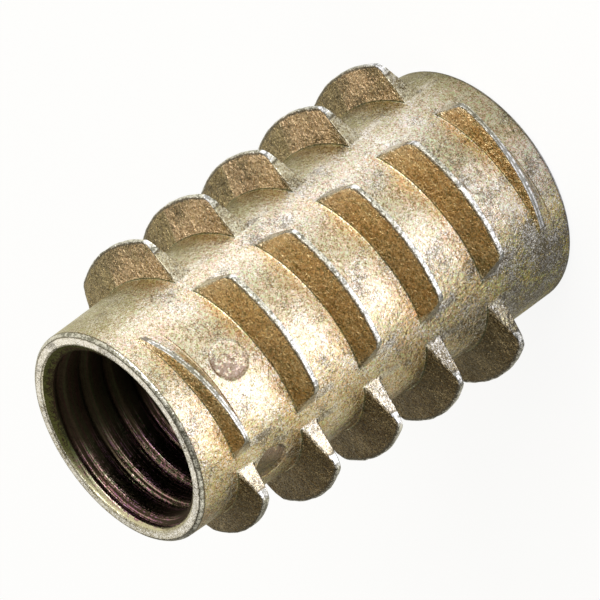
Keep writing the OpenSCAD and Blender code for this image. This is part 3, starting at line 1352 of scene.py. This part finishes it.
def skin_colour(tree, where, grain):
    """Film, pockets, grain, specks and glints, before the wear."""
    x, y, z = split(tree, where)
    flank = stored(tree, "flank")
    end = stored(tree, "end")
    rim = ramp(z, *RIM_Z)
    film = use_group(tree, film_thickness, {
        "Place": where, "Patch": FILM_PATCH, "Grain": grain["Grain"], "In grain": FILM_IN_GRAIN})
    olive = ramp(x, *OLIVE_ENTRY_X) * ramp(z, *OLIVE_ENTRY_Z) * SHARE["olive at entry"]
    olive = olive.highest(ramp(x, *OLIVE_X) * SHARE["olive"])
    colour = blend(olive, film_colour(tree, where, film["Thickness"], x, z), OLIVE_CORE)
    colour = blend(flank * SHARE["pocket"], colour, pocket_colour(film["Thickness"], x, y))
    rim_colour = blend(ramp(y - x * RIM_TILT, *RIM_OLIVE_Y), RIM_BRONZE, RIM_OLIVE)
    colour = blend(rim, colour, rim_colour)
    colour = blend(end * SHARE["end"], colour, END_METAL)

    shade = (1 - grain["Grain"]) * (1 - rim * RIM_SHADE) * (1 - flank * FLANK_SHADE)
    colour = tinted(shade * SHARE["grain"], colour, GRAIN_SHADE)
    pits = ramp(noise(where, PIT_SIZE, "pits", roughness=0.7, distortion=1.5), *PIT_EDGE)
    pits = pits * flank * ramp(x.apply("ABSOLUTE"), *SIDE_RIBS_X)
    colour = tinted(pits * SHARE["pits"], colour, GRAIN_SHADE)

    level, low = dirt_and_shade_level(x, z, flank, rim, end)
    # More and bigger dark specks on the low side and the drive half: partly painted shade.
    dark = use_group(tree, specks, {
        **DARK_SPECKS, "Place": where, "Size": low * SPECK_GROWTH + SPECK_SIZE, "Amount": level})
    colour = blend(dark["Mask"] * SHARE["specks"], colour, SPECK)
    light = use_group(tree, specks, {
        **LIGHT_SPECKS, "Place": vector_math("MULTIPLY", where, MIRRORED),
        "Amount": rim * GLINTS_ON_RIM + GLINT_AMOUNT})
    light = light["Mask"].highest(grain["Wrinkle"] * SHARE["wrinkles"])
    light = light * (1 - flank * ramp(x, *DIM_GLINT_X) * DIM_GLINT) * (1 - olive * DIM_OLIVE)
    return blend(light * SHARE["glints"], colour, blend(flank, GLINT, WARM_GLINT))


print("film patches, mm:", FILM_PATCH, "specks, mm:", SPECK_SIZE)

# %% Stain and wear the skin
BLOTCHES = {"size": 0.3, "seed": "pin blotches", "detail": 3.0, "roughness": 0.7}
BLOTCH_EDGE = (0.36, 0.50)
STAIN_EDGE = (0.5, 0.7)
STAIN_RAGGED = 1.6
RING_RISE = (0.42, 0.48)
RING_FALL = (0.60, 0.52)
RING_STAINED = 0.6
RING_LEAST = 0.3
INSIDE_EDGE = (0.5, 0.6)
STAIN_INTO_SHADE = (0.7, 1.1)
ROOT_EDGE = (0.4, 0.9)
WEAR_SPREAD = 0.7
DULL_PATCHES = {"size": 0.25, "seed": "dull metal", "detail": 3.0, "roughness": 0.7}
DULL_GRAIN = 0.10
DULL_EDGE = (0.48, 0.60)
CREST_MIDDLE_EDGE = (0.1, 0.5)


def pin_stains(tree, where, colour):
    """The dark ring round the mark of an ejector pin, and the blotches inside it: stain, with
    painted shade towards one side, nearly black where darkest.
    """
    pin = stored(tree, "pin")
    stain_and_shade = stored(tree, "stain_and_shade")
    blotches = noise(where, **BLOTCHES)
    ring = ramp(pin, *RING_RISE) * ramp(pin, *RING_FALL) * ramp(blotches, *BLOTCH_EDGE)
    colour = blend(ring * (stain_and_shade * RING_STAINED + RING_LEAST), colour, PIN_RING)
    blotched = ramp(stain_and_shade + (blotches - 0.5) * STAIN_RAGGED, *STAIN_EDGE)
    inside = ramp(pin, *INSIDE_EDGE) * blotched
    blotch = blend(ramp(stain_and_shade, *STAIN_INTO_SHADE), PIN_BLOTCH, SPECK)
    return blend(inside * SHARE["stain_and_shade"], colour, blotch)


def worn(tree, where, colour, fine):
    """Bare metal on the edges, with what wear leaves round it."""
    wear = use_group(tree, edge_wear, {
        "Edge": stored(tree, "wear"), "Place": where, "Spread": WEAR_SPREAD})
    dull = noise(where, **DULL_PATCHES) + fine * DULL_GRAIN
    metal = blend(ramp(dull, *DULL_EDGE), DULL_SILVER, SILVER)
    metal = blend(ramp(stored(tree, "middle"), *CREST_MIDDLE_EDGE), metal, DULL_SILVER)
    colour = blend(wear["Border"] * SHARE["border"], colour, DARK_BORDER)
    return blend(wear["Bare"] * SHARE["bare"], colour, metal), wear["Bare"]


print("ring of a pin, shares of its radius:", RING_RISE, RING_FALL)

# %% Make the skin's material
SKIN_GRAIN = {"Size": 0.10, "Lines": 0.3}
SKIN_RELIEF = 0.03
ROUGH_GAIN = 3
SMOOTHEST = 0.22
GRAIN_ROUGHNESS = 0.16
BARE_POLISH = 0.04


def coat(tree, colour, roughness, height, depth):
    """Makes a material metallic, and gives it a colour, a roughness and a relief."""
    principled = tree.nodes["Principled BSDF"]
    principled.inputs["Metallic"].default_value = 1.0
    tree.links.new(colour.socket, principled.inputs["Base Color"])
    tree.links.new(roughness.socket, principled.inputs["Roughness"])
    bump = value_of(tree, "ShaderNodeBump", {
        "Height": height, "Strength": 1.0, "Distance": depth * MM})
    tree.links.new(bump.socket, principled.inputs["Normal"])


def shade_skin(material):
    """The plated skin: its layers of colour, and a relief that is rougher on the ribs."""
    material.use_nodes = True
    tree = material.node_tree
    where = millimetres(tree)
    grain = use_group(tree, cast_grain, {"Place": where, **SKIN_GRAIN})
    fine = grain["Grain"]
    colour = pin_stains(tree, where, skin_colour(tree, where, grain))
    # A painted highlight along each rib's root fillet.
    root = ramp(stored(tree, "root"), *ROOT_EDGE)
    colour = blend(root * SHARE["root"], colour, ROOT_HIGHLIGHT)
    colour, bare = worn(tree, where, colour, fine)
    x, _, z = split(tree, where)
    rough = stored(tree, "flank") * (ramp(x.apply("ABSOLUTE"), *SIDE_RIBS_X) + 1)
    rough = rough + ramp(x, *ROUGH_X) * ramp(z, *ROUGH_Z)
    height = grain["Relief"] * (1 + rough * ROUGH_GAIN)
    roughness = SMOOTHEST + fine * GRAIN_ROUGHNESS - bare * BARE_POLISH
    coat(tree, colour, roughness, height, SKIN_RELIEF)


shade_skin(coating)
print("skin:", len(coating.node_tree.nodes), "nodes")

# %% [markdown]
# ## The dark lining
#
# The thread is painted nearly black, as shade deep in the bore. On one quarter
# it shows painted highlights: thin bright lines of green and purple along the
# thread. These lines can't come from noise in space, which would cross the
# thread. Each point of the thread keeps its place across the profile, and the
# noise is read there, so every line follows the helix.

# %% The dark lining
# Painted shade: the thread is nearly black, as deep in the bore.
SHADED_LINING = (0.066, 0.050, 0.032, 1)
# A painted highlight round the lip on one side of the mouth, and olive elsewhere.
LIP_HIGHLIGHT = (0.90, 0.86, 0.62, 1)
LIP_OLIVE = (0.16, 0.17, 0.06, 1)
SCORE_GREEN = (0.05, 0.075, 0.03, 1)
SCORE_RED = (0.09, 0.035, 0.035, 1)
BRIGHT_QUARTER = (-0.643, 0.766, 0.0)
LIP_HIGHLIGHT_SIDE = (-0.94, 0.33, 0.0)
LINING_GRAIN = {"Size": 0.12, "Lines": 0.0}
LINING_RELIEF = 0.02
LINING_PATCH = 0.8
LINING_IN_GRAIN = 0.3
SCORE_SIZE = 0.045
TINT_SIZE = 0.22
SCORE_DRIFT = 0.02
# Where the painted highlight lines are bright, and the thread is smoother.
LIT_AND_SMOOTH_EDGE = (2.7, 4.8)
LIT_AND_SMOOTH_SHARE = 0.9
LEAST_LIT_AND_SMOOTH = 0.01
LINE_SHARE = 0.5
SCORE_CONTRAST = 3.8
LINE_GRAIN = 0.3
LINE_EDGE = (0.40, 0.72)
FAINT_EDGE = (0.48, 0.60)
FAINT_SHARE = 0.7
TINT_EDGE = (0.45, 0.55)
LIP_HIGHLIGHT_EDGE = (0.5, 4.0)
LIP_DEPTH = (0.42, 0.24)
LIP_SHARE = 0.9
LIP_GRAIN = 0.2
LINING_ROUGH = 0.65
POLISHED_GAIN = 0.5
LINING_GRAIN_ROUGH = 0.15


def bright_lines(tree, side, fine, lit_and_smooth):
    """Painted highlight lines and scores along the thread: how bright a line is, the scores
    themselves, and their tints.
    """
    across = value_of(tree, "ShaderNodeCombineXYZ",
                      {0: stored(tree, "phase"), 1: side * SCORE_DRIFT})
    scores = noise(across, SCORE_SIZE, "scores", roughness=0.6)
    tints = noise(across, TINT_SIZE, "tints", roughness=0.6)
    line = stored(tree, "line") * LINE_SHARE + (scores - 0.5) * SCORE_CONTRAST
    line = line + (fine - 0.5) * LINE_GRAIN
    return ramp(line, *LINE_EDGE) * lit_and_smooth, scores, tints


def shade_lining(material):
    """The thread painted dark as shade, with painted highlight lines on one side, and a painted
    highlight on one side of the lip at the mouth, olive elsewhere.
    """
    material.use_nodes = True
    tree = material.node_tree
    where = millimetres(tree)
    grain = use_group(tree, cast_grain, {"Place": where, **LINING_GRAIN})
    fine = grain["Grain"]
    film = use_group(tree, film_thickness, {
        "Place": where, "Patch": LINING_PATCH, "Grain": fine, "In grain": LINING_IN_GRAIN})
    side = vector_math("DOT_PRODUCT", where, BRIGHT_QUARTER)
    # Painted highlights on one quarter of the thread, which is also smoother there.
    lit_and_smooth = ramp(side, *LIT_AND_SMOOTH_EDGE) * LIT_AND_SMOOTH_SHARE + LEAST_LIT_AND_SMOOTH
    line, scores, tints = bright_lines(tree, side, fine, lit_and_smooth)
    faint = blend(ramp(tints, *TINT_EDGE), SCORE_GREEN, SCORE_RED)
    colour = blend(ramp(scores, *FAINT_EDGE) * FAINT_SHARE, SHADED_LINING, faint)
    colour = blend(line, colour, colours_along((film["Thickness"] + tints) * 0.5, THREAD_FILM))
    # A painted highlight on one side of the lip, olive elsewhere.
    lip_lit = ramp(vector_math("DOT_PRODUCT", where, LIP_HIGHLIGHT_SIDE), *LIP_HIGHLIGHT_EDGE)
    height = split(tree, where)[2]
    lip_band = ramp(LENGTH - height + fine * LIP_GRAIN, *LIP_DEPTH)
    colour = blend(lip_band * LIP_SHARE, colour, blend(lip_lit, LIP_OLIVE, LIP_HIGHLIGHT))
    roughness = LINING_ROUGH - lit_and_smooth * POLISHED_GAIN + fine * LINING_GRAIN_ROUGH
    coat(tree, colour, roughness, grain["Relief"], LINING_RELIEF)


shade_lining(lining_coat)
print("lining:", len(lining_coat.node_tree.nodes), "nodes")

# %% [markdown]
# ## The light tent
#
# A metal part shows its surroundings, so its light is mostly what it reflects.
# Small shiny parts are lit in a tent of white cloth, with a few brighter
# windows. The tent is a rule here: a direction goes in, and a brightness and a
# tint come out. The sky and the floor both ask it, so they always agree.

# %% The light tent
BRIGHT_SIDE = Vector((0.82, -0.29, -0.49)).normalized()
SIDE_EDGE = (-0.75, 0.1)
DIM = 0.12
BRIGHT_RANGE = 0.62
# Where each window is, how bright it is, and its half width in degrees.
WINDOWS = (
    (Vector((0.82, -0.26, -0.52)), 1.25, 32.0),
    (Vector((-0.49, -0.697, -0.523)), 1.90, 45.0),
    (Vector((-0.84, 0.02, -0.52)), 0.72, 36.0),
    (Vector((-0.013, 0.852, 0.523)), 1.05, 20.0),
    (Vector((-0.83, 0.20, 0.50)), 0.90, 35.0),
)
WARM = (1.0, 0.95, 0.76, 1)
COOL = (1.0, 1.0, 1.08, 1)
COOL_GLOW = (0.8, 1.5)


def tent_group():
    """The tent's brightness and tint in a direction."""
    tree, given, asked = new_tree("tent_glow", "Shader", ("Direction",), ("Glow", "Tint"))
    unit = vector_math("NORMALIZE", given["Direction"])
    side = vector_math("DOT_PRODUCT", unit, tuple(BRIGHT_SIDE))
    glow = ramp(side, *SIDE_EDGE) * BRIGHT_RANGE + DIM
    for towards, strength, spread in WINDOWS:
        near = vector_math("DOT_PRODUCT", unit, tuple(towards.normalized()))
        glow = glow + ramp(near, math.cos(math.radians(spread)), 1.0) * strength
    put_out(asked, Glow=glow, Tint=blend(ramp(glow, *COOL_GLOW), WARM, COOL))
    return tree


tent_glow = tent_group()
print("tent:", len(WINDOWS), "windows,", len(tent_glow.nodes), "nodes")

# %% [markdown]
# ## Floor and light
#
# The part stands on plain white paper. The paper is white to the eye, but in the
# metal it must be as bright as the tent is in that direction, and darker close
# to the part, where the part shades it. So the floor's shader gives one
# strength to the camera and another to reflections. A little diffuse paint lets
# it keep a faint shadow of the one soft lamp.

# %% The floor
FLOOR_SIZE = 3.0
FLOOR_WHITE = 0.88
FLOOR_PAINT = (0.16, 0.16, 0.16, 1)
WHITE = (1, 1, 1, 1)
# Shades on the floor, in millimetres: the middle, the stretch of X, Y and Z,
# where the shade is deepest and where it ends, its range, and the light in it.
FLOOR_SHADES = (
    ((0, 0, 0), (1, 1, 1), (4.5, 8), 1.0, 0.02),
    ((0, 0, 0), (1, 1, 1), (8, 40), 0.20, 0.80),
    ((20, -10, 0), (1, 1, 1), (3, 22), 0.35, 0.65),
    ((-16, -7.2, 0), (1, 1.2, 1), (5, 27), 0.90, 0.10),
)
bm = bmesh.new()
bmesh.ops.create_grid(bm, x_segments=1, y_segments=1, size=FLOOR_SIZE / 2)
floor_mesh = bpy.data.meshes.new("floor")
bm.to_mesh(floor_mesh)
bm.free()
floor = bpy.data.objects.new("floor", floor_mesh)
bpy.context.scene.collection.objects.link(floor)
floor_paint = bpy.data.materials.new("floor_white")
floor_paint.use_nodes = True
floor_mesh.materials.append(floor_paint)


def shade_floor(tree):
    """White to the camera, the tent's brightness in reflections, and a faint shadow kept."""
    tree.nodes.clear()
    spot = millimetres(tree)
    tent = use_group(tree, tent_glow, {
        "Direction": vector_math("SUBTRACT", spot, tuple(AIM / MM))})
    glow = tent["Glow"]
    for middle, stretch, (deepest, ends), full, least in FLOOR_SHADES:
        away = vector_math("DISTANCE", vector_math("MULTIPLY", spot, stretch), middle)
        glow = glow * (ramp(away, deepest, ends) * full + least)
    rays = tree.nodes.new("ShaderNodeLightPath").outputs
    seen = Field(tree, rays["Is Camera Ray"])
    mirrored = Field(tree, rays["Is Glossy Ray"]).highest(rays["Is Transmission Ray"])
    light = add_node(tree, "ShaderNodeEmission", {
        "Color": blend(seen, tent["Tint"], WHITE),
        "Strength": seen * FLOOR_WHITE + mirrored * glow})
    paint = add_node(tree, "ShaderNodeBsdfDiffuse", {"Color": FLOOR_PAINT})
    both = add_node(tree, "ShaderNodeAddShader", {0: light.outputs[0], 1: paint.outputs[0]})
    add_node(tree, "ShaderNodeOutputMaterial", {"Surface": both.outputs[0]})


shade_floor(floor_paint.node_tree)
print("floor, m across:", FLOOR_SIZE, "shades:", len(FLOOR_SHADES))

# %% Lamp and sky
LAMP_TOWARDS = (0.8, -1.0, 0.5)
LAMP_DISTANCE = 0.5
LAMP_SIZE = 0.35
LAMP_POWER = 1.5


def soft_lamp(name, towards):
    """A square lamp that shines on the insert from a direction."""
    lamp = bpy.data.lights.new(name, "AREA")
    lamp.size = LAMP_SIZE
    lamp.energy = LAMP_POWER
    holder = bpy.data.objects.new(name, lamp)
    direction = Vector(towards).normalized()
    holder.location = AIM + direction * LAMP_DISTANCE
    holder.rotation_euler = direction.to_track_quat("Z", "Y").to_euler()
    bpy.context.scene.collection.objects.link(holder)


def light_sky(world):
    """The tent's brightness and tint, all round."""
    world.use_nodes = True
    sky = world.node_tree
    direction = sky.nodes.new("ShaderNodeTexCoord").outputs["Generated"]
    tent = use_group(sky, tent_glow, {"Direction": direction})
    background = sky.nodes["Background"]
    sky.links.new(tent["Tint"].socket, background.inputs["Color"])
    sky.links.new(tent["Glow"].socket, background.inputs["Strength"])


soft_lamp("key", LAMP_TOWARDS)
bpy.context.scene.world = bpy.data.worlds.new("studio")
light_sky(bpy.context.scene.world)
bpy.context.scene.view_settings.view_transform = "Standard"
print("lamps:", len(bpy.data.lights), "world:", bpy.context.scene.world.name)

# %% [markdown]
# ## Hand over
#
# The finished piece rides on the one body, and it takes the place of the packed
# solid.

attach(insert, "root")
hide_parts(NODE)
